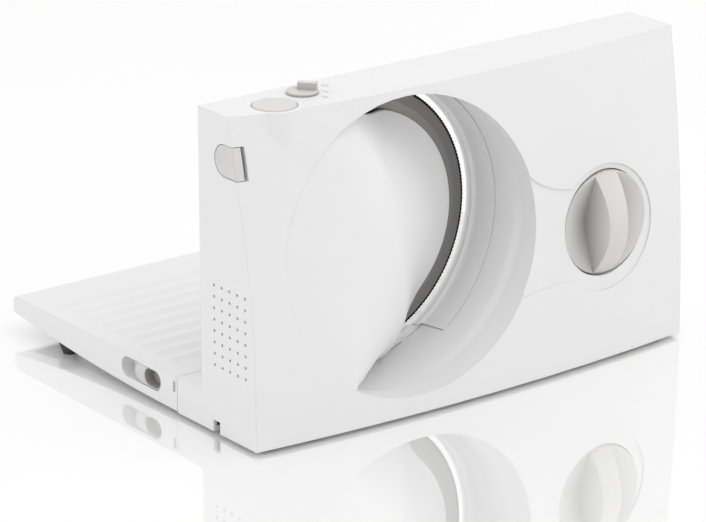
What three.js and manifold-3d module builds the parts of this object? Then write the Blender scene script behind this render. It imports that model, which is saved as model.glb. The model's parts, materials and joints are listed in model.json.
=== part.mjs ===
// A folding electric food slicer, built from its separate pieces with their real clearances.
// Millimetres, +Z up. Slices come out of the wall towards -Y, and the folding table reaches back to +Y.
import * as THREE from 'three';
import { mergeVertices } from 'three/addons/utils/BufferGeometryUtils.js';
import Module from 'manifold-3d';

const wasm = await Module();
wasm.setup();

// Clearances
const GAP = 0.3; // between pieces that are fixed to each other
const RUN = 0.6; // between pieces that move past each other
const CHAMFER = 0.7; // on the edges of knobs, buttons and feet

// Blade
const BLADE_R = 85;
const BLADE_THICK = 1.6;
const BLADE_SINK = 0.4; // behind the food face of the wall
const BLADE_BEVEL = 9;
const SLICE_GAP = 3.2; // blade rim to stop plate
const CAP_R = 12;
const CAP_THICK = 2.1;

// Wall, whose length and height follow from what it holds
const SHELL = 2.5;
const FOOT_GAP = 2.2; // ground to the underside of the housing
const LEDGE_HEIGHT = 24.6;
const LEDGE_DEPTH = 25.3;
const BLADE_DIP = 2.3; // blade rim below the table top
const TOP_MARGIN = 7.7; // blade rim to the top of the wall
const END_MARGIN = 26.4; // blade rim to the button end of the wall
const FACE_DEPTH = 54.5; // wall depth at its two ends, at the foot
const FACE_BOW = 9.2; // extra depth at mid length
const FACE_LEAN = 16; // how far the top edge stands back
const LEAN_POWER = 2.2;
const CORNER_PINCH = 10; // extra lean of the top corner at the button end
const PINCH_REACH = 25;
const PINCH_START = 90;

// Thickness knob and its dish
const KNOB_R = 33;
const KNOB_SPACING = 33.8; // blade rim to knob rim
const KNOB_MARGIN = 33.8; // knob rim to the far end of the wall
const KNOB_Z = 90;
const KNOB_RIM_Y = -57;
const KNOB_RIM = 10.5;
const KNOB_DISH = 8; // depth of its face at the foot of the grip
const GRIP_HEIGHT = 14;
const GRIP_FOOT = 8.8; // half the grip's width at the rim
const GRIP_TOP = 7.3; // half its width at full height
const HUB_R = 6;
const DISH_R = 40;
const DISH_DROP = 3;
const NECK_SINK = 1; // depth of the dish and of the pocket that joins it to the outlet
const NECK_ABOVE = [37, 32, 29]; // its height above the middle at the outlet, half-way and at the dish
const NECK_BELOW = [48, 26, 28];
const NECK_TUCK = 7; // how far it starts inside the outlet

// Round outlet in the front face, and the cover that fills its left part
const RIM_MARGIN = 6.2; // radius of the rim in the front face, beyond the blade
const RIM_RIGHT = 4.1; // rim centre, right of the blade centre
const RIM_DROP = 2.6; // and below it
const RIM_DEPTH = 46; // depth from which the outlet is as wide as its rim
const THROAT_MARGIN = 7.2; // blade rim to outlet wall
const THROAT_TAPER = 0.05;
const OUTLET_WALL = 1.4;
const COVER_SINK = 0.6;
const COVER_SEAM = 0.6; // how far it runs into the outlet wall
const COVER_EDGE_INSET = 15; // width of blade that shows
const COVER_EDGE_Y = -6;
const COVER_POWER = 3.2; // how late the cover curves in from the front face to its edge
const COVER_TOP_FROM = 82; // degrees, where its edge leaves the circle
const COVER_TOP_TO = 112;
const COVER_FOOT_FROM = -45;
const COVER_FOOT_TO = -75;
const COVER_RISE = -84; // degrees, where its tail starts to rise
const COVER_FLUSH = -116; // and where it reaches the front face
const COVER_TURN = 66; // degrees, where its top starts to rise
const COVER_CREST = 130; // and where it reaches the front face
const COVER_SWEEP = 2; // how late its edge turns out to the rim

// Rear panel and blade well
const PANEL = 3;
const WELL_GAP = 1.5; // blade rim to well wall
const WELL_DEPTH = 9;
const WELL_INSET = 14; // well floor behind the cover's edge
const BUSH_WALL = 3;
const BUSH_LENGTH = 11.4;
const SHAFT_R = 4;

// Worm drive
const GEAR_TEETH = 28;
const MODULE = 1.5;
const WORM_R = 6.5;
const TOOTH_HALF = 1.2; // tooth height above and below the pitch line
const TOOTH_WIDE = 1.5; // tooth width on the pitch line
const TOOTH_TAPER = 0.4; // share that a tooth is wider at its foot and narrower at its tip
const GEAR_WIDTH = 6;
const DRIVE_Y = -28;
const WORM_TURNS = 4;
const MOTOR_R = 17.5;
const MOTOR_LENGTH = 55;
const MOTOR_FROM_END = 24;
const MOTOR_SHAFT_R = 2.5;
const FAN_R = 16;
const FAN_WIDTH = 8;
const FAN_BLADES = 6;
const FAN_WALL = 1.5;
const BRACKET = 3;

// Stop plate
const STOP_THICK = 5;
const STOP_TRAVEL = 15;
const STOP_ANGLE = 59; // degrees of arc above and below the blade centre
const STOP_MARGIN = 27; // to the far end of the wall
const LIP_WALL = 2; // curved lip that closes the outlet behind its wall
const LIP_EDGE = 0.3; // thickness of its front edge
const LIP_OVERLAP = 1.5;
const LIP_GAP = 0.35; // lip to outlet wall
const SLEEVE_LENGTH = 25;
const SLEEVE_WALL = 2.5;
const ROD_R = 3;
const ROD_SPOTS = [[-30, 60], [30, -50]]; // from the knob axis
const CAM_R = 14;
const CAM_END_Y = -24;
const FOLLOWER_HALF = 4; // half the height of the block that the cam moves

// Controls on the top
const BUTTON_R = 13.5;
const BUTTON_RIM = 4;
const BUTTON_FROM_END = 35.5;
const BUTTON_Y = -26;
const BUTTON_PROUD = 0.6;
const BUTTON_DISH = 0.8; // hollow in its top
const BUTTON_TRAVEL = 3;
const BUTTON_STEM_R = 3;
const BUTTON_STEM = 10;
const BUTTON_BOSS = 50; // height of the round bulge below the button
const FLANGE_THICK = 2;
const SPRING_R = 5.5;
const SPRING_WIRE_R = 0.6;
const SPRING_TURNS = 5;
const SWITCH_SIZE = [20, 14, 14];
const SELECTOR_R = 9.75;
const SELECTOR_FROM_END = 62.9;
const SELECTOR_Y = -16;
const SELECTOR_THICK = 2;
const SELECTOR_GRIP = [11, 5, 4];
const SELECTOR_SHIFT = 2.5; // of the grip, the way it points
const SELECTOR_ANGLE = -50; // degrees, the way the grip points
const SELECTOR_STEM = 11;

// Safety button in the left end
const SAFETY_DROP = 27; // top of the wall to its centre
const SAFETY_HALF = 9.6; // half its height, and the radius of its round end
const SAFETY_Y = -25.5; // centre of its round end
const SAFETY_DEPTH = 5;
const SAFETY_TRAVEL = 1.5;
const SAFETY_DISH_R = 22;
const SAFETY_DISH = 2.5;

// Vents and cord inlet in the left end
const VENT_COLUMNS = 5;
const VENT_ROWS = 8;
const VENT_R = 1.1;
const VENT_Y = -13.6; // first column
const VENT_Z = 44.8; // first row
const VENT_PITCH = [7.7, 7.1];
const CORD_WIDTH = 6.5;
const CORD_TOP = 9.7;
const CORD_Y = -14.8;

// Folding table
const TABLE_REACH = 180.2; // from hinge end to far edge
const TABLE_NOSE = 3.2; // radius of the rounded hinge edge
const TABLE_BOTTOM = 3;
const TABLE_TIP = 10.6; // thickness at the far edge
const TABLE_SKIN = 3.5;
const TABLE_SIDE = 10;
const TABLE_BAYS = 4;
const RIB_PITCH = 15;
const RIB_COUNT = 9;
const RIB_DEPTH = 1.2;
const RIB_START = 14; // first rib, from the hinge end
const RIB_MARGIN = 14; // rib ends to the side of the table
const EAR_R = 3;
const EAR_WIDTH = 8;
const EAR_FROM_END = 28;
const PIN_R = 1.6;
const PIN_LENGTH = 24;
const PIN_GAP = 0.1; // round the hinge pins
const NOTCH = [4, 2.6, 7]; // small recess by the hinge in the table's sides

// Slider in the table's left side
const SLOT_START = 17; // from the hinge end
const SLOT_LENGTH = 42;
const SLOT_HALF = 6.5;
const SLOT_Z = 15.5;
const SLOT_DEPTH = 8.6;
const SLIDER_LENGTH = 28;
const SLIDER_THICK = 7.6;
const SLIDER_STEM = [6, 4];
const THUMB_RIM = 0.8; // edge left round the hollow for the thumb
const THUMB_LENGTH = 17;
const THUMB_DEPTH = 6.4;

// Feet and screws
const FOOT_R = 7;
const FOOT_INSET = 15; // from the ends of the wall
const FOOT_STEM_R = 2.5;
const TABLE_FOOT_FROM_END = 51; // from the far edge of the table
const TABLE_FOOT_EDGE = 1.2; // from its sides
const TABLE_FOOT_TIP = 4.5; // radius on the ground
const SCREW_R = 1.6;
const SCREW_HEAD_R = 3.4;
const SCREW_LENGTH = 18;
const SCREW_INSET = 15;
const BOSS_R = 4.2;
const BASE = 3;

// Places that follow from the sizes above
const WALL_LENGTH = END_MARGIN + 2 * BLADE_R + KNOB_SPACING + 2 * KNOB_R + KNOB_MARGIN;
const HALF = WALL_LENGTH / 2;
const LEFT = -HALF;
const BLADE_X = LEFT + END_MARGIN + BLADE_R;
const BLADE_Z = LEDGE_HEIGHT - BLADE_DIP + BLADE_R;
const TOP = BLADE_Z + BLADE_R + TOP_MARGIN;
const KNOB_X = HALF - KNOB_MARGIN - KNOB_R;
const RIM_X = BLADE_X + RIM_RIGHT;
const RIM_Z = BLADE_Z - RIM_DROP;
const RIM_R = BLADE_R + RIM_MARGIN;
const THROAT_R = BLADE_R + THROAT_MARGIN;
const CEILING = TOP - SHELL - OUTLET_WALL; // flat top of the outlet under the top of the wall
const GEAR_R = (MODULE * GEAR_TEETH) / 2;
const MOTOR_Z = BLADE_Z - GEAR_R - WORM_R;
const BUTTON_X = LEFT + BUTTON_FROM_END;
const SELECTOR_X = LEFT + SELECTOR_FROM_END;
const SAFETY_Z = TOP - SAFETY_DROP;
const DISH_FLOOR_Y = KNOB_RIM_Y + KNOB_RIM + RUN;
const CAM_START_Y = DISH_FLOOR_Y + SHELL + RUN;
const STOP_BACK_Y = -STOP_THICK - STOP_TRAVEL;
const LIP_END_Y = STOP_BACK_Y - RUN - LIP_OVERLAP;
const LIP_STOP_Y = LIP_END_Y - STOP_TRAVEL - RUN; // clear of the lip when the plate is drawn in
const TABLE_FRONT = LEDGE_DEPTH + 0.5;
const TABLE_END = TABLE_FRONT + TABLE_REACH;
const AXIS_Y = TABLE_FRONT + TABLE_NOSE;
const AXIS_Z = LEDGE_HEIGHT - TABLE_NOSE;
const FAR = 20; // overshoot of a cut that leaves the piece
const COLUMN_CROWD = 1.4; // crowds the columns of the front face towards the pinched corner

// Solids from three.js shapes
function signedVolume(position, index) {
  const [a, b, c] = [new THREE.Vector3(), new THREE.Vector3(), new THREE.Vector3()];
  let sum = 0;
  for (let i = 0; i < index.length; i += 3) {
    a.fromBufferAttribute(position, index[i]);
    b.fromBufferAttribute(position, index[i + 1]);
    c.fromBufferAttribute(position, index[i + 2]);
    sum += a.dot(b.cross(c));
  }
  return sum;
}

function solid(geometry) {
  geometry.deleteAttribute('normal');
  geometry.deleteAttribute('uv');
  const merged = mergeVertices(geometry, 1e-4);
  const index = merged.index.array;
  const inward = signedVolume(merged.attributes.position, index) < 0;
  const triangles = [];
  for (let i = 0; i < index.length; i += 3) {
    const [a, b, c] = [index[i], index[i + 1], index[i + 2]];
    const flat = a === b || b === c || c === a;
    if (!flat) triangles.push(a, inward ? c : b, inward ? b : c);
  }
  return new wasm.Manifold(new wasm.Mesh({
    numProp: 3,
    vertProperties: new Float32Array(merged.attributes.position.array),
    triVerts: new Uint32Array(triangles),
  }));
}

function toGeometry(manifold) {
  const mesh = manifold.getMesh();
  const geometry = new THREE.BufferGeometry();
  geometry.setAttribute('position', new THREE.BufferAttribute(mesh.vertProperties, 3));
  geometry.setIndex(new THREE.BufferAttribute(mesh.triVerts, 1));
  geometry.computeVertexNormals();
  return geometry;
}

function box(x0, x1, y0, y1, z0, z1) {
  const geometry = new THREE.BoxGeometry(x1 - x0, y1 - y0, z1 - z0);
  return solid(geometry.translate((x0 + x1) / 2, (y0 + y1) / 2, (z0 + z1) / 2));
}

// Turns a shape made along +Y to lie along an axis, then moves it to its place across that axis
function place(geometry, axis, u, v) {
  if (axis === 'x') return geometry.rotateZ(-Math.PI / 2).translate(0, u, v);
  if (axis === 'z') return geometry.rotateX(Math.PI / 2).translate(u, v, 0);
  return geometry.translate(u, 0, v);
}

function bar(axis, u, v, radius, from, to, sides = 12) {
  const geometry = new THREE.CylinderGeometry(radius, radius, to - from, sides);
  return solid(place(geometry.translate(0, (from + to) / 2, 0), axis, u, v));
}

function lathe(axis, u, v, profile, sides = 20) {
  const points = profile.map(([r, t]) => new THREE.Vector2(r, t));
  return solid(place(new THREE.LatheGeometry(points, sides), axis, u, v));
}

function tube(axis, u, v, inner, outer, from, to, sides = 16) {
  return lathe(axis, u, v, [[inner, from], [outer, from], [outer, to], [inner, to], [inner, from]], sides);
}

// Extrudes a flat outline along an axis: (y, z) along x, (x, z) along y and (x, y) along z
function prism(axis, shape, from, to, curveSegments = 8) {
  const geometry = new THREE.ExtrudeGeometry(shape, { depth: to - from, bevelEnabled: false, curveSegments });
  geometry.translate(0, 0, from);
  const [x, y, z] = [new THREE.Vector3(1, 0, 0), new THREE.Vector3(0, 1, 0), new THREE.Vector3(0, 0, 1)];
  const turn = new THREE.Matrix4();
  if (axis === 'x') geometry.applyMatrix4(turn.makeBasis(y, z, x));
  if (axis === 'y') geometry.applyMatrix4(turn.makeBasis(x, z, y));
  return solid(geometry);
}

function ball(x, y, z, radius, stretch = [1, 1, 1]) {
  const geometry = new THREE.SphereGeometry(radius, 16, 10).scale(...stretch);
  return solid(geometry.translate(x, y, z));
}

function polygon(points) {
  return new THREE.Shape(points.map(([u, v]) => new THREE.Vector2(u, v)));
}

// Joins two matching sheets of points, front and back, into one closed skin
function skin(front, back, faces, border) {
  const geometry = new THREE.BufferGeometry();
  geometry.setAttribute('position', new THREE.Float32BufferAttribute([...front, ...back].flat(), 3));
  const n = front.length;
  const index = [];
  for (const [a, b, c] of faces) index.push(a, b, c, n + a, n + c, n + b);
  for (let i = 0; i < border.length; i += 1) {
    const [a, b] = [border[i], border[(i + 1) % border.length]];
    index.push(a, n + a, b, b, n + a, n + b);
  }
  geometry.setIndex(index);
  return solid(geometry);
}

// Front face of the wall
function faceY(x, z) {
  const bow = FACE_BOW * (1 - (x / HALF) ** 2);
  const lean = FACE_LEAN * (z / TOP) ** LEAN_POWER;
  const rise = Math.max(0, (z - PINCH_START) / (TOP - PINCH_START));
  const pinch = CORNER_PINCH * Math.exp(-(x - LEFT) / PINCH_REACH) * rise;
  return -FACE_DEPTH - bow + lean + pinch;
}

// A block between the front face, set back by an offset, and a flat plane behind it
function faceBlock(inset, z0, z1, offset, backY, columns = 11, rows = 8) {
  const [front, back, faces] = [[], [], []];
  const width = columns + 1;
  for (let row = 0; row <= rows; row += 1) {
    for (let column = 0; column <= columns; column += 1) {
      const x = LEFT + inset + (WALL_LENGTH - 2 * inset) * (column / columns) ** COLUMN_CROWD;
      const z = z0 + ((z1 - z0) * row) / rows;
      front.push([x, faceY(x, z) + offset, z]);
      back.push([x, backY, z]);
      const a = row * width + column;
      const inside = row < rows && column < columns;
      if (inside) faces.push([a, a + 1, a + width], [a + 1, a + width + 1, a + width]);
    }
  }
  const border = [];
  for (let i = 0; i < columns; i += 1) border.push(i);
  for (let i = 0; i < rows; i += 1) border.push(i * width + columns);
  for (let i = columns; i > 0; i -= 1) border.push(rows * width + i);
  for (let i = rows; i > 0; i -= 1) border.push(i * width);
  return skin(front, back, faces, border);
}

const { clamp, degToRad: radians, radToDeg, smoothstep } = THREE.MathUtils;

// Round outlet at a depth: round the blade at the back, and on its own centre at the front
function outletAt(y) {
  const turn = smoothstep(-y, -LIP_STOP_Y, RIM_DEPTH);
  const behind = THROAT_R + THROAT_TAPER * Math.min(-y, -LIP_STOP_Y);
  return { right: RIM_RIGHT * turn, drop: RIM_DROP * turn, radius: behind + (RIM_R - behind) * turn };
}

function throat(grow, fromY, toY, steps = 4) {
  const depths = [fromY];
  for (let i = 0; i <= steps; i += 1) depths.push(LIP_STOP_Y - ((RIM_DEPTH + LIP_STOP_Y) * i) / steps);
  depths.push(toY);
  const profile = [[0, fromY], ...depths.map((y) => [outletAt(y).radius + grow, y]), [0, toY]];
  const geometry = new THREE.LatheGeometry(profile.map(([r, y]) => new THREE.Vector2(r, y)), 56);
  const spots = geometry.attributes.position;
  for (let i = 0; i < spots.count; i += 1) {
    const { right, drop } = outletAt(spots.getY(i));
    spots.setX(i, spots.getX(i) + BLADE_X + right);
    spots.setZ(i, spots.getZ(i) + BLADE_Z - drop);
  }
  return solid(geometry).intersect(box(-WALL_LENGTH, WALL_LENGTH, toY - 1, fromY + 1, 0, CEILING + grow));
}

// Outlet wall seen from the blade centre
function outletReach(angle, y) {
  const { right, drop, radius } = outletAt(y);
  const [cos, sin] = [Math.cos(angle), Math.sin(angle)];
  const [along, across] = [right * cos - drop * sin, right * sin + drop * cos];
  const round = along + Math.sqrt(radius ** 2 - across ** 2);
  return sin > 0 ? Math.min(round, (CEILING - BLADE_Z) / sin) : round;
}

// Share of the way from the front face to the blade that the cover's edge has sunk at an angle
function coverDeep(angle) {
  const tail = clamp((COVER_RISE - radToDeg(angle)) / (COVER_RISE - COVER_FLUSH), 0, 1);
  return (1 - tail ** 2) * (1 - smoothstep(radToDeg(angle), COVER_TURN, COVER_CREST));
}

// Edge of the cover: round the blade on the right, running out to the outlet wall at its top and foot
function coverReach(angle) {
  const degrees = radToDeg(angle);
  const upper = clamp((degrees - COVER_TOP_FROM) / (COVER_TOP_TO - COVER_TOP_FROM), 0, 1);
  const lower = clamp((degrees - COVER_FOOT_FROM) / (COVER_FOOT_TO - COVER_FOOT_FROM), 0, 1);
  const [x, z] = [BLADE_X + RIM_R * Math.cos(angle), BLADE_Z + RIM_R * Math.sin(angle)];
  const edgeY = (faceY(x, z) + SHELL) * (1 - coverDeep(angle));
  const wall = outletReach(angle, edgeY) + COVER_SEAM;
  const edge = BLADE_R - COVER_EDGE_INSET;
  return edge + (wall - edge) * Math.max(upper, lower) ** COVER_SWEEP;
}

// Spreads the sink of the edge smoothly over the cover, as a stretched skin would
function coverSink(share, angle, samples = 72) {
  if (share > 0.99) return coverDeep(angle) ** (1 / COVER_POWER);
  let [sum, total] = [0, 0];
  for (let i = 0; i < samples; i += 1) {
    const round = (i / samples) * 2 * Math.PI - Math.PI;
    const weight = 1 / (1 - 2 * share * Math.cos(angle - round) + share ** 2);
    sum += weight * coverDeep(round) ** (1 / COVER_POWER);
    total += weight;
  }
  return sum / total;
}

// Front surface of the cover, flush on the left and curving in to the blade on the right
function coverY(x, z) {
  const angle = Math.atan2(z - BLADE_Z, x - BLADE_X);
  const share = Math.hypot(x - BLADE_X, z - BLADE_Z) / coverReach(angle);
  const flush = faceY(x, z) + COVER_SINK;
  return flush + (COVER_EDGE_Y - flush) * coverSink(share, angle) ** COVER_POWER;
}

// Outline of the open part of the outlet, right of the cover's edge, grown on every side by an inset
function openOutline(inset, foot = COVER_FOOT_TO, crest = COVER_TOP_TO) {
  const spread = inset / THROAT_R;
  const [from, to] = [radians(foot) - spread, radians(crest) + spread];
  const [inner, outer, steps] = [[], [], 26];
  for (let i = 0; i <= steps; i += 1) {
    const angle = from + ((to - from) * i) / steps;
    const [along, up] = [Math.cos(angle), Math.sin(angle)];
    const [near, far] = [coverReach(angle) - inset, THROAT_R + FAR];
    inner.push([BLADE_X + near * along, BLADE_Z + near * up]);
    outer.unshift([BLADE_X + far * along, BLADE_Z + far * up]);
  }
  return polygon([...inner, ...outer]);
}

// Stop plate outline: an arc round the blade and a straight far edge
function stopOutline(arcR, grow) {
  const half = (BLADE_R + SLICE_GAP) * Math.sin(radians(STOP_ANGLE)) + grow;
  const start = Math.asin(half / arcR);
  const right = HALF - STOP_MARGIN + grow;
  const shape = new THREE.Shape();
  shape.absarc(BLADE_X, BLADE_Z, arcR, -start, start, false);
  shape.lineTo(right, BLADE_Z + half);
  shape.lineTo(right, BLADE_Z - half);
  return shape;
}

// Outline of the safety button, and a little larger of the opening that it sits in
function safetyOutline(grow) {
  const shape = new THREE.Shape();
  const r = SAFETY_HALF + grow;
  const front = -FACE_DEPTH - FAR;
  shape.moveTo(front, SAFETY_Z - r);
  shape.lineTo(SAFETY_Y, SAFETY_Z - r);
  shape.absarc(SAFETY_Y, SAFETY_Z, r, -Math.PI / 2, Math.PI / 2, false);
  shape.lineTo(front, SAFETY_Z + r);
  return shape;
}

const outerBlock = faceBlock(0, FOOT_GAP, TOP, 0, 0);
const buttonBoss = bar('z', BUTTON_X, BUTTON_Y, BUTTON_R + BUTTON_RIM, TOP - BUTTON_BOSS, TOP, 28);
const screwSpots = [LEFT + SCREW_INSET, HALF - SCREW_INSET].flatMap((x) => [
  [x, TOP - SCREW_INSET + GAP], [x, LEDGE_HEIGHT + SCREW_INSET]]);
const baseSpots = [LEFT + 3 * SCREW_INSET, HALF - 3 * SCREW_INSET].flatMap((x) => [
  [x, LEDGE_DEPTH / 2], [x, faceY(x, LEDGE_HEIGHT) + SHELL + SCREW_HEAD_R + 2 * SCREW_R]]);
const rodSpots = ROD_SPOTS.map(([dx, dz]) => [KNOB_X + dx, KNOB_Z + dz]);
const sleeveEndY = -STOP_THICK - SLEEVE_LENGTH;
const rodBossY = sleeveEndY - STOP_TRAVEL - RUN;

function hollowShell() {
  const inX = HALF - SHELL;
  const seatY = -WELL_DEPTH - GAP;
  const cavity = faceBlock(SHELL, 0, TOP - SHELL, SHELL, seatY)
    .add(box(-inX, inX, seatY - 1, FAR, LEDGE_HEIGHT, TOP - SHELL))
    .add(box(-inX, inX, seatY - 1, LEDGE_DEPTH - SHELL, 0, LEDGE_HEIGHT - SHELL))
    .add(bar('z', BUTTON_X, BUTTON_Y, BUTTON_R + BUTTON_RIM - SHELL, TOP - BUTTON_BOSS, TOP - SHELL, 28));
  const ledge = box(LEFT, HALF, -SHELL, LEDGE_DEPTH, FOOT_GAP, LEDGE_HEIGHT);
  return outerBlock.add(buttonBoss).add(ledge).subtract(cavity);
}

// Wall of the outlet, only where the cover leaves it open and clear of the stop plate's travel
function outletWall() {
  const front = -FACE_DEPTH - FACE_BOW - FAR;
  const sweep = prism('y', stopOutline(BLADE_R - SHELL, RUN), STOP_BACK_Y - RUN, FAR);
  const open = prism('y', openOutline(SHELL, COVER_FLUSH, COVER_CREST), front, LIP_STOP_Y)
    .add(prism('y', openOutline(0, COVER_FLUSH), LIP_STOP_Y, FAR));
  return throat(OUTLET_WALL, -PANEL - RUN, front)
    .subtract(throat(0, 0, front - 1))
    .intersect(open)
    .intersect(outerBlock)
    .subtract(sweep);
}

// Rib under the ledge that closes the foot of the outlet behind the blade
function outletRib() {
  const half = THROAT_R / 2;
  const [bottom, top] = [FOOT_GAP + BASE + GAP, LEDGE_HEIGHT - SHELL / 2];
  return box(BLADE_X - half, BLADE_X + half, -SHELL, SHELL, bottom, top);
}

// Domed cover, a skin between its front surface and the same surface set back
function bladeCover() {
  const [rings, sectors] = [12, 72];
  const [front, back, faces, border] = [[], [], [], []];
  const push = (x, z) => {
    front.push([x, coverY(x, z), z]);
    back.push([x, coverY(x, z) + SHELL, z]);
  };
  push(BLADE_X, BLADE_Z);
  for (let ring = 1; ring <= rings; ring += 1) {
    for (let sector = 0; sector < sectors; sector += 1) {
      const angle = ((sector + 0.5) / sectors) * 2 * Math.PI - Math.PI;
      const r = (coverReach(angle) * ring) / rings;
      push(BLADE_X + r * Math.cos(angle), BLADE_Z + r * Math.sin(angle));
      const [a, b] = [(ring - 1) * sectors + 1 + sector, (ring - 1) * sectors + 1 + ((sector + 1) % sectors)];
      if (ring === 1) faces.push([0, a, b]);
      else faces.push([a - sectors, a, b], [a - sectors, b, b - sectors]);
      if (ring === rings) border.push(a);
    }
  }
  return skin(front, back, faces, border);
}

// Room for the knob, and the cup round it
function knobCup() {
  const front = -FACE_DEPTH - FACE_BOW - FAR;
  const bore = KNOB_R + RUN;
  const cup = bar('y', KNOB_X, KNOB_Z, bore + SHELL, front, DISH_FLOOR_Y + SHELL, 40).intersect(outerBlock);
  const hollow = bar('y', KNOB_X, KNOB_Z, bore, front, DISH_FLOOR_Y, 40);
  return { cup, hollow: hollow.add(bar('y', KNOB_X, KNOB_Z, HUB_R + RUN, front, 0)) };
}

// Shallow dish round the knob, and the pocket with flared sides that joins it to the outlet
function neckPocket() {
  const front = -FACE_DEPTH - FACE_BOW - FAR;
  const dishZ = KNOB_Z - DISH_DROP;
  const shape = new THREE.Shape();
  const [x0, x1] = [RIM_X + RIM_R - 2 * SHELL, KNOB_X - DISH_R + SHELL];
  const middle = (x0 + x1) / 2;
  shape.moveTo(x0 - NECK_TUCK, RIM_Z + NECK_ABOVE[0]);
  const end = KNOB_X - DISH_R / 2;
  shape.quadraticCurveTo(middle - NECK_TUCK, dishZ + NECK_ABOVE[1], end, dishZ + NECK_ABOVE[2]);
  shape.lineTo(end, dishZ - NECK_BELOW[2]);
  shape.quadraticCurveTo(middle, dishZ - NECK_BELOW[1], x0 - NECK_TUCK, RIM_Z - NECK_BELOW[0]);
  const skinDeep = faceBlock(0, FOOT_GAP, TOP, -SHELL, 0).subtract(faceBlock(0, FOOT_GAP, TOP, NECK_SINK, 0));
  return prism('y', shape, front, 0)
    .add(bar('y', KNOB_X, dishZ, DISH_R, front, 0, 48))
    .intersect(skinDeep);
}

function safetyPocket() {
  const deep = LEFT + SAFETY_DEPTH + SAFETY_TRAVEL + RUN;
  const cup = prism('x', safetyOutline(GAP + SHELL), LEFT, deep + SHELL).intersect(outerBlock);
  const hollow = prism('x', safetyOutline(GAP), LEFT - FAR, deep);
  return { cup, hollow: hollow.add(bar('x', SAFETY_Y, SAFETY_Z, SHELL + GAP, LEFT, deep + FAR)) };
}

function vents() {
  const holes = [];
  for (let column = 0; column < VENT_COLUMNS; column += 1) {
    for (let row = 0; row < VENT_ROWS; row += 1) {
      const [y, z] = [VENT_Y - column * VENT_PITCH[0], VENT_Z + row * VENT_PITCH[1]];
      holes.push(bar('x', y, z, VENT_R, LEFT - 1, LEFT + SHELL + 1, 5));
    }
  }
  return holes;
}

function mainHousing() {
  const front = -FACE_DEPTH - FACE_BOW - FAR;
  const knob = knobCup();
  const safety = safetyPocket();
  let shell = hollowShell().subtract(throat(0, -SHELL, front))
    .add(outletWall())
    .add(outletRib())
    .add(bladeCover())
    .add(knob.cup)
    .add(safety.cup);
  for (const [x, z] of screwSpots) {
    const post = bar('y', x, z, BOSS_R, front, -PANEL - GAP).intersect(outerBlock);
    shell = shell.add(post).subtract(bar('y', x, z, SCREW_R + GAP, -SCREW_LENGTH - 1, FAR));
  }
  for (const [x, y] of baseSpots) {
    const [bottom, top] = [FOOT_GAP + BASE + GAP, LEDGE_HEIGHT - SHELL / 2];
    const post = bar('z', x, y, BOSS_R, bottom, top);
    const rib = box(x - SHELL / 2, x + SHELL / 2, front, Math.min(y, 0), bottom, top).intersect(outerBlock);
    shell = shell.add(y < 0 ? post.add(rib) : post)
      .subtract(bar('z', x, y, SCREW_R + GAP, 0, FOOT_GAP + SCREW_LENGTH + 1));
  }
  for (const [x, z] of rodSpots) {
    const post = bar('y', x, z, ROD_R + SHELL, front, rodBossY).intersect(outerBlock);
    const hole = bar('y', x, z, ROD_R + GAP, faceY(x, z) + SHELL, rodBossY + 1);
    shell = shell.add(post).subtract(hole);
  }
  for (const side of [-1, 1]) {
    const [from, to] = [earX(side) - EAR_WIDTH / 2, earX(side) + EAR_WIDTH / 2];
    const ear = bar('x', AXIS_Y, AXIS_Z, EAR_R, from, to)
      .add(box(from, to, LEDGE_DEPTH - SHELL / 2, AXIS_Y, AXIS_Z - EAR_R, AXIS_Z + EAR_R));
    shell = shell.add(ear).subtract(bar('x', AXIS_Y, AXIS_Z, PIN_R + PIN_GAP, from - 1, to + 1));
  }
  const wellR = BLADE_R + WELL_GAP + SHELL + GAP;
  const wellRoom = bar('y', BLADE_X, BLADE_Z, wellR, -WELL_DEPTH - GAP - 1, SHELL, 48)
    .subtract(prism('y', openOutline(WELL_INSET - GAP), -FAR, -PANEL - RUN));
  shell = shell.subtract(wellRoom)
    .subtract(knob.hollow)
    .subtract(safety.hollow)
    .subtract(neckPocket())
    .subtract(bar('z', BUTTON_X, BUTTON_Y, BUTTON_R + RUN / 2, TOP - SHELL - 1, TOP + 1, 28))
    .subtract(bar('z', SELECTOR_X, SELECTOR_Y, BUTTON_STEM_R + RUN / 2, TOP - SHELL - 1, TOP + 1))
    .subtract(box(LEFT - 1, LEFT + SHELL + 1, CORD_Y - CORD_WIDTH / 2, CORD_Y + CORD_WIDTH / 2, 0, CORD_TOP));
  for (const hole of vents()) shell = shell.subtract(hole);
  return shell;
}

function earX(side) {
  return side * (HALF - EAR_FROM_END);
}

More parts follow.
